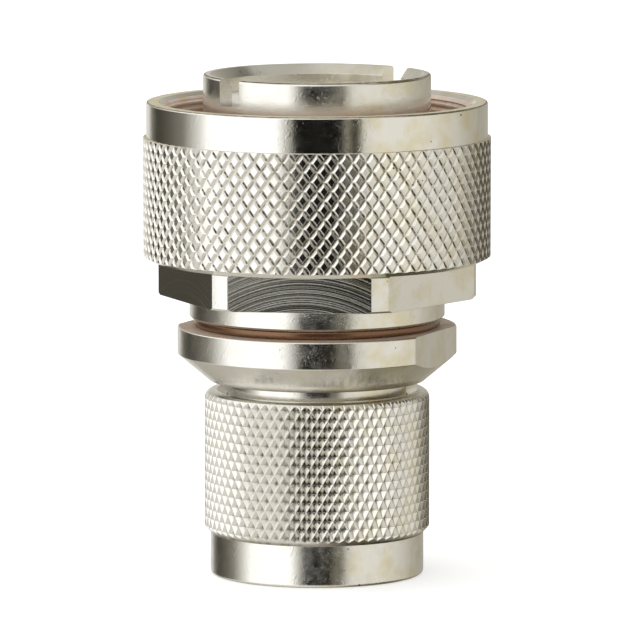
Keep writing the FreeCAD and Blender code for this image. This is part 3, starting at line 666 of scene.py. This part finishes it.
def turned_fluoroplastic(add):
    """White fluoroplastic turned from rod: waxy and soft-edged, with tool rings and a cream haze."""
    place, radius = place_on(add)
    finish = colours()
    cream = patchy(add, place, 0.6, 3.0, 0.4, 0.75, most=0.5)
    shade = mixed(add, cream, finish.insulator, finish.haze)
    return {
        "Base Color": shade, "Roughness": 0.42, "IOR": 1.35, "Subsurface Weight": 0.15,
        "Subsurface Radius": (0.0012, 0.0011, 0.001), "Normal": tool_rings(add, place, radius, 0.012, 0.08)
    }


def moulded_silicone(add):
    """Silicone rubber moulded in a steel tool: matt, fine-grained, with a dusty bloom."""
    finish = colours()
    place, _ = place_on(add)
    bloom = patchy(add, place, 1.5, 4.0, 0.45, 0.75, most=0.3)
    shade = mixed(add, bloom, finish.rubber, finish.bloom)
    grain = noise(add, place, 12.0, 3.0)
    normal = add("Bump", {"Height": grain, "Distance": 0.01 * MM})
    return {"Base Color": shade, "Roughness": 0.62, "IOR": 1.41, "Normal": normal}


def conductive_rubber(add):
    """Rubber filled with copper powder, so that it carries the current of the shield.

    The powder is burnished where the ring shows, which gives a brown and blurred metallic sheen.
    """
    place, _ = place_on(add)
    grain = noise(add, place, 9.0, 3.0)
    shine = ranged(add, grain, least=0.55, most=0.9)
    normal = add("Bump", {"Height": grain, "Distance": 0.006 * MM})
    return metal(colours().joint_seal, 0.22, normal, shine)


FINISHES = {
    "bright_silver": partial(turned_silver, 0.09, 0.15, 0.6),
    "satin_silver": partial(turned_silver, 0.17, 0.26, 0.8),
    "milled_silver": milled_silver,
    "tarnish_and_sheen_silver": tarnish_and_painted_sheen,
    "matt_top": matt_top,
    "edge_tarnish": edge_tarnish,
    "spring_bronze": spring_bronze,
    "turned_fluoroplastic": turned_fluoroplastic,
    "silicone_rubber": moulded_silicone,
    "conductive_rubber": conductive_rubber,
}


def finish_named(name):
    """The material of that name, made when it is first asked for."""
    return bpy.data.materials.get(name) or finish_of(name, FINISHES[name])


def repaint(name, finish):
    """Gives a CAD node that stays in view its finish."""
    piece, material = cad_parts[name], finish_named(finish)
    if not piece.material_slots:
        piece.data.materials.append(material)
    for place in piece.material_slots:
        place.material = material


# Pieces


class ADAPTER_OT_large_nut(Operator):
    """Makes the large coupling nut: chamfered and rimmed blank, diamond knurl and fine inner thread"""

    bl_idname = "adapter.large_nut"
    bl_label = "Large coupling nut"

    def execute(self, context):
        s = sizes()
        low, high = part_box("large_coupling_nut")
        bore, thread, crest = s.large_bore, s.large_thread, high.x
        rim = crest - s.large_knurl_rise
        knurl_top = high.z - s.large_rim_height
        ledge = 0.3 * MM
        thread_start = high.z - 0.72 * MM
        thread_low = thread_start - 7.6 * MM
        nut = lathe("large_nut", [
            (bore, low.z, s.edge), (s.large_foot, low.z, 0.05 * MM), (crest, low.z + s.large_chamfer),
            (crest, knurl_top), (rim, knurl_top), (rim, high.z, 0.2 * MM),
            (rim - 1.12 * MM, high.z, 0.05 * MM), (thread + 0.42 * MM, high.z - ledge, 0.04 * MM),
            (thread, thread_start), (thread, thread_low), (bore, thread_low),
            *snap_groove(bore, "large_snap_ring")
        ])
        root = crest - s.large_knurl_depth
        # facets that reach past the crest, so that the turned crest leaves flat tops
        middle = root + s.large_knurl_depth / (1 - s.large_flat)
        knurl_low = low.z + 0.3 * MM
        drum = knurled_drum(
            "large_drum", s.large_diamonds, s.large_rows, knurl_low, knurl_top, root, middle
        )
        knurled(nut, drum, root - 0.3 * MM, crest, low.z - MM, knurl_top)
        lattice = (s.large_diamonds, 2 * (knurl_top - knurl_low) / s.large_rows, knurl_low)
        cutter = thread_cutter(
            "large_cutter", thread, s.large_pitch, 0.2 * MM, thread_low - s.large_pitch / 2,
            thread_start + 0.6 * MM
        )
        combined(nut, cutter)
        pressed = partial(knurled_silver, root, crest, 0.04, 0.05, 0.8, lattice)
        finish_of("knurled_silver_large", pressed)
        finishes = ["bright_silver", "knurled_silver_large", "tarnish_and_sheen_silver", "edge_tarnish", "matt_top"]

        def chooser(radius, centre, normal):
            if normal.z > 0.99:
                return 4
            if radius < thread + 0.45 * MM and thread_low < centre.z < high.z - ledge:
                return 2
            if radius > rim - 0.25 * MM and centre.z > high.z - 0.07 * MM:
                return 3
            return int(radius > root - 0.1 * MM and centre.z < knurl_top - 0.01 * MM)

        finished(nut, finishes, "large_coupling_nut", chooser, crease=15, body="upper_nut")
        return {"FINISHED"}


class ADAPTER_OT_lower_nut(Operator):
    """Makes the lower coupling nut: rounded blank, knurl of raised lines and inner thread"""

    bl_idname = "adapter.lower_nut"
    bl_label = "Lower coupling nut"

    def execute(self, context):
        s = sizes()
        low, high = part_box("n_coupling_nut")
        bore, thread, crest = s.n_bore, s.n_thread, high.x
        band = crest - s.n_knurl_rise
        thread_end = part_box("lower_body")[0].z - MM
        nut = lathe("lower_nut", [
            (thread + 0.85 * MM, low.z, 0.04 * MM), (band, low.z, 0.35 * MM),
            (band, low.z + s.n_band_height), (crest, low.z + s.n_band_height + s.n_chamfer),
            (crest, high.z, s.n_round), (bore + 0.9 * MM, high.z, 0.1 * MM),
            (bore, high.z - 0.5 * MM, 0.1 * MM), *snap_groove(bore, "n_snap_ring"), (bore, thread_end),
            (thread, thread_end), (thread, low.z + 0.85 * MM)
        ], 264)
        root = crest - s.n_knurl_depth
        knurl_low = low.z + s.n_band_height + 0.1 * MM
        drum = knurled_drum(
            "lower_drum", s.n_diamonds, s.n_rows, low.z + 4.5 * MM, high.z - s.n_round, crest, root
        )
        knurled(nut, drum, root - 0.2 * MM, crest, knurl_low, high.z + MM, 264)
        cutter = thread_cutter(
            "lower_cutter", thread, s.n_pitch, 0.6 * MM, low.z + 0.2 * MM, thread_end - 0.4 * MM
        )
        combined(nut, cutter)
        finish_of("knurled_silver_lower", partial(knurled_silver, root, crest, 0.08, 0.5, 1.0, None))
        finishes = ["satin_silver", "knurled_silver_lower", "tarnish_and_sheen_silver"]

        def chooser(radius, centre, normal):
            if radius < thread + 0.7 * MM and 0.85 * MM < centre.z < thread_end:
                return 2
            return int(radius > root - 0.1 * MM and knurl_low < centre.z < high.z - 0.4 * s.n_round)

        finished(nut, finishes, "n_coupling_nut", chooser, crease=15, body="lower_nut")
        return {"FINISHED"}


class ADAPTER_OT_bodies(Operator):
    """Makes the two bodies that screw together, with their wrench flats"""

    bl_idname = "adapter.bodies"
    bl_label = "Upper and lower body"

    def execute(self, context):
        s, a = sizes(), angles()
        finishes = ["satin_silver", "milled_silver", "tarnish_and_sheen_silver"]
        low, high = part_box("upper_body")
        corner, neck, groove, groove_low, groove_high = [
            size * MM for size in (14.58, 11.7, 11.83, 32.15, 34.05)
        ]
        spigot, seat_radius, bore, throat = 10.53 * MM, 9.33 * MM, 8.2 * MM, 9.95 * MM
        hex_low = low.z + 1.9 * MM
        hex_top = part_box("large_coupling_nut")[0].z - 0.05 * MM
        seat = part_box("middle_bead")
        lip_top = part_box("large_insulator")[0].z
        upper = lathe("upper_body_turned", [
            (spigot, low.z, 0.05 * MM), (neck - 0.2 * MM, low.z), (neck, low.z + 0.2 * MM),
            (neck, hex_low, 0.06 * MM), (corner - 0.18 * MM, hex_low), (corner, hex_low + 0.18 * MM),
            (corner, hex_top, 0.15 * MM), (s.collar, hex_top), (s.collar, groove_low), (groove, groove_low),
            (groove, groove_high), (s.collar, groove_high), (s.collar, high.z, 0.2 * MM),
            (throat, high.z, 0.05 * MM), (throat, lip_top), (bore, lip_top), (bore, seat[1].z),
            (seat_radius, seat[1].z), (seat_radius, seat[0].z), (spigot, seat[0].z)
        ])
        combined(
            upper, prism("six_sides", s.hex_flat, low.z - MM, high.z + MM, 6, a.six_flats), "INTERSECT"
        )
        flats_laid_out(upper, s.hex_flat, 6, a.six_flats)

        def upper_chooser(radius, centre, normal):
            if centre.z < low.z + 0.01 * MM or radius < spigot + 0.07 * MM:
                return 2
            level = hex_low + 0.1 * MM < centre.z < hex_top - 0.1 * MM
            return int(level and radius < corner - 0.2 * MM and abs(normal.z) < 0.01)

        finished(upper, finishes, "upper_body", upper_chooser)

        low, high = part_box("lower_body")
        band, spigot, bore, floor, step = [size * MM for size in (12.8, 10.5, 8.2, 19.85, 12.5)]
        groove, groove_low, groove_high = 7.63 * MM, 12.15 * MM, 13.85 * MM
        contact, clearance = 5.08 * MM, 4.43 * MM
        cone_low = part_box("n_coupling_nut")[1].z + 0.95 * MM
        cone_top = cone_low + 2.45 * MM
        band_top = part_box("joint_seal")[0].z
        lower = lathe("lower_body_turned", [
            (clearance, low.z, 0.1 * MM), (s.neck - 0.3 * MM, low.z), (s.neck, low.z + 0.3 * MM),
            (s.neck, groove_low), (groove, groove_low), (groove, groove_high), (s.neck, groove_high),
            (s.neck, cone_low, 0.06 * MM), (s.cone_low, cone_low, 0.06 * MM), (band, cone_top, 0.12 * MM),
            (band, band_top, 0.15 * MM), (spigot, band_top), (spigot, high.z), (bore, high.z),
            (bore, floor), (contact, floor), (contact, step), (clearance, step)
        ])
        sides = box_between(
            "two_sides", (-s.band_flat, -30 * MM, low.z - MM), (s.band_flat, 30 * MM, high.z + MM),
            a.band_flats - pi / 2
        )
        combined(lower, sides, "INTERSECT")
        flats_laid_out(lower, s.band_flat, 2, a.band_flats)

        def lower_chooser(radius, centre, normal):
            if centre.z > band_top - 0.01 * MM and radius < band - 0.2 * MM:
                return 2
            level = cone_low < centre.z < band_top
            return int(level and radius < band - 0.15 * MM and abs(normal.z) < 0.01)

        finished(lower, finishes, "lower_body", lower_chooser)
        return {"FINISHED"}


class ADAPTER_OT_shell(Operator):
    """Makes the slotted outer shell of the large plug"""

    bl_idname = "adapter.shell"
    bl_label = "Outer shell"

    def execute(self, context):
        s, a = sizes(), angles()
        low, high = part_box("outer_shell")
        flange_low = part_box("upper_body")[1].z
        flange_top = flange_low + 1.5 * MM
        thread, flange = 9.92 * MM, 10.95 * MM
        shell = lathe("slotted_shell", [
            (s.shell_bore, low.z), (thread, low.z), (thread, flange_low), (flange, flange_low, 0.05 * MM),
            (flange, flange_top, 0.15 * MM), (s.shell_radius, flange_top),
            (s.shell_radius, high.z, 0.25 * MM), (s.shell_bore + 0.75 * MM, high.z, 0.06 * MM),
            (s.shell_bore, high.z - 0.85 * MM)
        ])
        half = s.slot_width / 2
        slot = box_between(
            "spanner_slot", (-half, -20 * MM, high.z - s.slot_depth), (half, 20 * MM, high.z + MM), a.slots
        )
        combined(shell, slot)

        def chooser(radius, centre, normal):
            return int(radius > s.shell_radius - 0.3 * MM and centre.z > high.z - 0.08 * MM)

        finished(shell, ["satin_silver", "edge_tarnish"], "outer_shell", chooser)
        return {"FINISHED"}


class ADAPTER_OT_contacts(Operator):
    """Makes the two centre contacts and the slotted outer contact of the lower plug"""

    bl_idname = "adapter.contacts"
    bl_label = "Contacts"

    def execute(self, context):
        s, a = sizes(), angles()
        low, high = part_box("large_centre_contact")
        hollow, shank, pin, floor, deep = 1.5 * MM, 2.3 * MM, 2.7 * MM, low.z + 6 * MM, low.z + 3.9 * MM
        contact = lathe("large_contact_pin", [
            (hollow, low.z), (shank, low.z), (shank, floor), (pin, floor, 0.05 * MM),
            (pin, high.z, 0.5 * MM), (0, high.z), (0, deep), (hollow, deep)
        ], 96)
        finished(contact, ["satin_silver"], "large_centre_contact")

        low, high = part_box("n_centre_pin")
        tip, shank, collar, stud = 0.825 * MM, 1.52 * MM, 1.9 * MM, 1.1 * MM
        shoulder, collar_low, collar_top, shank_top = [z * MM for z in (7.5, 13.6, 14.2, 20.5)]
        pin = lathe("lower_contact_pin", [
            (0, low.z), (tip, low.z, 0.45 * MM), (tip, shoulder), (shank, shoulder, 0.3 * MM),
            (shank, collar_low), (collar, collar_low), (collar, collar_top), (shank, collar_top),
            (shank, shank_top), (stud, shank_top), (stud, high.z), (0, high.z)
        ], 96)
        finished(pin, ["satin_silver"], "n_centre_pin")

        low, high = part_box("n_outer_contact")
        bore, finger, root, seat = 3.5 * MM, 4.0 * MM, 4.4 * MM, 5.05 * MM
        root_low, seat_low = 8.7 * MM, 12.5 * MM
        fingers = lathe("spring_fingers", [
            (bore, low.z, 0.08 * MM), (finger, low.z, 0.2 * MM), (finger, root_low),
            (root, root_low, 0.05 * MM), (root, seat_low), (seat, seat_low), (seat, high.z), (bore, high.z)
        ], 168)
        half = s.finger_slot / 2
        for turn in range(3):
            slot = box_between(
                "finger_slot", (-half, -6 * MM, low.z - MM), (half, 6 * MM, low.z + 5.6 * MM),
                a.fingers + pi / 3 * turn
            )
            combined(fingers, slot)
        finished(fingers, ["spring_bronze"], "n_outer_contact")
        return {"FINISHED"}


class ADAPTER_OT_insulator(Operator):
    """Makes the large plug's insulator with its well"""

    bl_idname = "adapter.insulator"
    bl_label = "Insulator"

    def execute(self, context):
        low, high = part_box("large_insulator")
        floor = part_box("large_centre_contact")[0].z + 6 * MM
        shank, well, side, foot, foot_top = 2.33 * MM, 5.2 * MM, 9.01 * MM, 9.92 * MM, low.z + 0.8 * MM
        insulator = lathe("insulator_turned", [
            (shank, low.z), (foot, low.z), (foot, foot_top), (side, foot_top), (side, high.z, 0.15 * MM),
            (well, high.z, 0.12 * MM), (well, floor, 0.15 * MM), (shank, floor)
        ], 240)
        finished(insulator, ["turned_fluoroplastic"], "large_insulator")
        return {"FINISHED"}


class ADAPTER_OT_seals(Operator):
    """Makes the two gaskets and the seal of the bodies' joint"""

    bl_idname = "adapter.seals"
    bl_label = "Seals"

    def execute(self, context):
        inner_radii = {"n_gasket": 4.48 * MM, "large_gasket": 11.03 * MM, "joint_seal": 10.53 * MM}
        for name, inner in inner_radii.items():
            low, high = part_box(name)
            edge = 0.2 * MM
            ring = lathe(f"{name}_moulded", [
                (inner, low.z, edge), (high.x, low.z, edge), (high.x, high.z, edge), (inner, high.z, edge)
            ], 240)
            rubber = "conductive_rubber" if name == "joint_seal" else "silicone_rubber"
            finished(ring, [rubber], name)
        return {"FINISHED"}


class ADAPTER_OT_inner_pieces(Operator):
    """Gives the pieces inside, which keep their solids, their finishes"""

    bl_idname = "adapter.inner_pieces"
    bl_label = "Inner pieces"

    def execute(self, context):
        for name in ("n_snap_ring", "large_snap_ring"):
            repaint(name, "spring_bronze")
        for name in ("n_clamp_ring", "centre_rod"):
            repaint(name, "satin_silver")
        for name in ("n_front_bead", "n_rear_bead", "middle_bead"):
            repaint(name, "turned_fluoroplastic")
        return {"FINISHED"}


# Stage

# What stands round the object in the studio, as its metal shows it. Each ring reaches from a height to
# a height, in degrees above the level, and has a list of directions, in degrees from the camera's side
# with plus to its right, with the colour there and its strength, which is 1 where none is given.
RINGS = {
    "level": (-21, 9, [
        (-180, "#EAE7E0"), (-157, "#EEEBE4"), (-148, "#8A877F"), (-138, "#4C4942"), (-130, "#4E4B44"),
        (-117, "#66635B"), (-101, "#8A877E"), (-93, "#C8C6BF"), (-85, "#F4F3F0"), (-77, "#FFFFFF", 1.5),
        (-27, "#FFFFFF", 1.5), (-22, "#E4E3DE"), (-17.5, "#B5B3AB"), (-15.4, "#3E3C37"), (-13, "#0D0C0A"),
        (2, "#1C1B18"), (12, "#0C0C0A"), (17, "#26241F"), (18.5, "#9A978C"), (21.5, "#9A978C"),
        (23, "#34312B"), (28, "#3A3730"), (31, "#E8E5DB"), (40, "#FAF8F0"), (72, "#F8F6EE"),
        (98, "#E4E1D7"), (120, "#C8C4B9"), (145, "#B2AEA2"), (180, "#B8B4A9")
    ]),
    "high": (9, 50, [
        (-180, "#C9C6BE"), (-160, "#C4C1B9"), (-142, "#CFCDC5"), (-125, "#FFFFFF"), (-105, "#FFFFFF", 1.4),
        (-10, "#FFFFFF", 1.4), (10, "#FBFAF6"), (46, "#F0EEE7"), (64, "#A39F95"), (84, "#66625A"),
        (118, "#5C584F"), (138, "#98958B"), (158, "#AFACA2"), (180, "#C9C6BE")
    ]),
    "low": (-30, -21, [
        (-180, "#B4B0A4"), (-150, "#B0ADA2"), (-125, "#DAD8D0"), (-105, "#FFFFFF", 1.2),
        (-10, "#FFFFFF", 1.2), (10, "#F0EEE7"), (46, "#E2DFD6"), (64, "#9A9689"), (84, "#625E53"),
        (118, "#58544A"), (140, "#8C877A"), (180, "#B4B0A4")
    ]),
    "roof": (50, 90, [(-180, "#C4C2BA"), (-60, "#EAE9E5"), (60, "#C4C2BA")]),
    "ground": (-90, -30, [
        (-180, "#A8A395"), (-165, "#B2AEA1"), (-140, "#D8D4C9"), (-100, "#E6E3DB"), (-50, "#F0EEE7"),
        (-5, "#EAE7DF"), (46, "#DAD6CB"), (64, "#959083"), (84, "#656155"), (118, "#5E594E"),
        (145, "#98937F"), (180, "#A8A395")
    ]),
}


def ring(name, low, high, marks):
    """A reflection card all round, a strip of a sphere 1 m round the object. Only metal shows it."""
    columns = 120
    rows = ceil((high - low) / 5)
    vertices, faces, places = [], [], []
    for column in range(columns + 1):
        turn = 2 * pi * column / columns - 1.5 * pi
        for row in range(rows + 1):
            rise = radians(low + (high - low) * row / rows)
            flat = cos(rise)
            vertices.append((flat * cos(turn), flat * sin(turn), sin(rise)))
            places.append((column / columns, row / rows))
    for column in range(columns):
        for row in range(rows):
            a = column * (rows + 1) + row
            faces.append([a, a + 1, a + rows + 2, a + rows + 1])
    card = placed(name, vertices, faces)
    layer = card.data.uv_layers.new(name="round")
    for loop in card.data.loops:
        layer.data[loop.index].uv = places[loop.vertex_index]
    material = bpy.data.materials.new(name)
    card.data.materials.append(material)
    add = emptied(material)
    place = add("SeparateXYZ", {0: add("UVMap", uv_map="round")})
    shades = add("ValToRGB", {0: place.outputs["X"]})
    stops = shades.color_ramp.elements
    stops.remove(stops[1])
    marks = [(*mark, 1.0)[:3] for mark in marks]
    strongest = max(strength for _, _, strength in marks)
    for at, (direction, tint, strength) in enumerate(marks):
        stop = stops.new((direction + 180) / 360) if at else stops[0]
        stop.position = (direction + 180) / 360
        stop.color = [strength / strongest * channel for channel in linear(tint)[:3]] + [1.0]
    glow = add("Emission", {"Color": shades, "Strength": strongest})
    add("OutputMaterial", {"Surface": glow})
    card.visible_camera = False
    card.visible_diffuse = False
    card.visible_shadow = False


def seen_directly(add):
    """One for camera, glossy and transmission rays, so that metal shows the background the eye sees."""
    path = add("LightPath")
    rays = path.outputs["Is Camera Ray"]
    for name in ("Is Glossy Ray", "Is Transmission Ray"):
        rays = maths(add, "MAXIMUM", rays, path.outputs[name])
        rays = rays.outputs["Value"]
    return rays


def white_paper():
    """Matt white paper, lifted to the background's white where it is seen directly."""
    material = bpy.data.materials.new("white_paper")
    add = emptied(material)
    paper = add("BsdfDiffuse", {"Color": linear("#F8F8F7")})
    lift = maths(add, "MULTIPLY", seen_directly(add), 0.35)
    glow = add("Emission", {"Color": (1, 1, 1, 1), "Strength": lift})
    both = add("AddShader", {0: paper, 1: glow})
    add("OutputMaterial", {"Surface": both})
    return material


class ADAPTER_OT_stage(Operator):
    """Sets the pale floor, the reflection cards, the soft light and the camera"""

    bl_idname = "adapter.stage"
    bl_label = "Stage"

    def execute(self, context):
        scene = context.scene
        reach = 3.0
        corners = [(-reach, -reach, 0), (reach, -reach, 0), (reach, reach, 0), (-reach, reach, 0)]
        floor = placed("floor", corners, [[0, 1, 2, 3]])
        floor.data.materials.append(white_paper())
        # the metal shows the cards and the white all round in place of the floor
        floor.visible_glossy = False
        for name, details in RINGS.items():
            ring(name, *details)

        scene.world = bpy.data.worlds.new("studio")
        add = emptied(scene.world)
        level = ranged(add, seen_directly(add), least=0.75)
        light = add("Background", {"Color": (1, 1, 1, 1), "Strength": level})
        add("OutputWorld", {"Surface": light})

        lamp = bpy.data.lights.new("overhead", "AREA")
        lamp.shape = "DISK"
        lamp.size = 0.9
        lamp.energy = 2.0
        overhead = bpy.data.objects.new("overhead", lamp)
        overhead.location = (-0.12, 0.05, 0.8)
        overhead.rotation_euler = (-overhead.location).to_track_quat("-Z", "Y").to_euler()
        overhead.visible_glossy = False
        scene.collection.objects.link(overhead)

        aim = Vector((0.27 * MM, 0, 23.34 * MM))
        distance = 0.67
        height = angles().camera_height
        view = bpy.data.cameras.new("camera")
        view.lens = 411
        view.clip_start, view.clip_end = 0.01, 10
        camera = bpy.data.objects.new("camera", view)
        camera.location = aim + distance * Vector((0, -cos(height), sin(height)))
        camera.rotation_euler = (aim - camera.location).to_track_quat("-Z", "Y").to_euler()
        scene.collection.objects.link(camera)
        scene.camera = camera
        scene.view_settings.view_transform = "Standard"
        return {"FINISHED"}


class ADAPTER_PT_pieces(Panel):
    """Lists the adapter's operators and settings"""

    bl_label = "Coaxial adapter"
    bl_idname = "ADAPTER_PT_pieces"
    bl_space_type = "VIEW_3D"
    bl_region_type = "UI"
    bl_category = "Adapter"

    def draw(self, context):
        layout = self.layout
        for operator in OPERATORS:
            layout.operator(operator.bl_idname)
        for group in (sizes(), angles(), colours()):
            box = layout.box()
            for name in group.bl_rna.properties.keys():
                if name not in ("rna_type", "name"):
                    box.prop(group, name)


OPERATORS = [
    ADAPTER_OT_large_nut,
    ADAPTER_OT_lower_nut,
    ADAPTER_OT_bodies,
    ADAPTER_OT_shell,
    ADAPTER_OT_contacts,
    ADAPTER_OT_insulator,
    ADAPTER_OT_seals,
    ADAPTER_OT_inner_pieces,
    ADAPTER_OT_stage,
]
GROUPS = {
    "adapter_sizes": AdapterSizes,
    "adapter_angles": AdapterAngles,
    "adapter_colours": AdapterColours,
}


def register():
    for group in GROUPS.values():
        bpy.utils.register_class(group)
    for name, group in GROUPS.items():
        setattr(bpy.types.Scene, name, PointerProperty(type=group))
    for operator in OPERATORS:
        bpy.utils.register_class(operator)
    bpy.utils.register_class(ADAPTER_PT_pieces)


def unregister():
    bpy.utils.unregister_class(ADAPTER_PT_pieces)
    for operator in reversed(OPERATORS):
        bpy.utils.unregister_class(operator)
    for name, group in GROUPS.items():
        delattr(bpy.types.Scene, name)
        bpy.utils.unregister_class(group)


def main():
    register()
    for operator in OPERATORS:
        getattr(bpy.ops.adapter, operator.bl_idname.split(".")[1])()


if __name__ == "__main__":
    main()
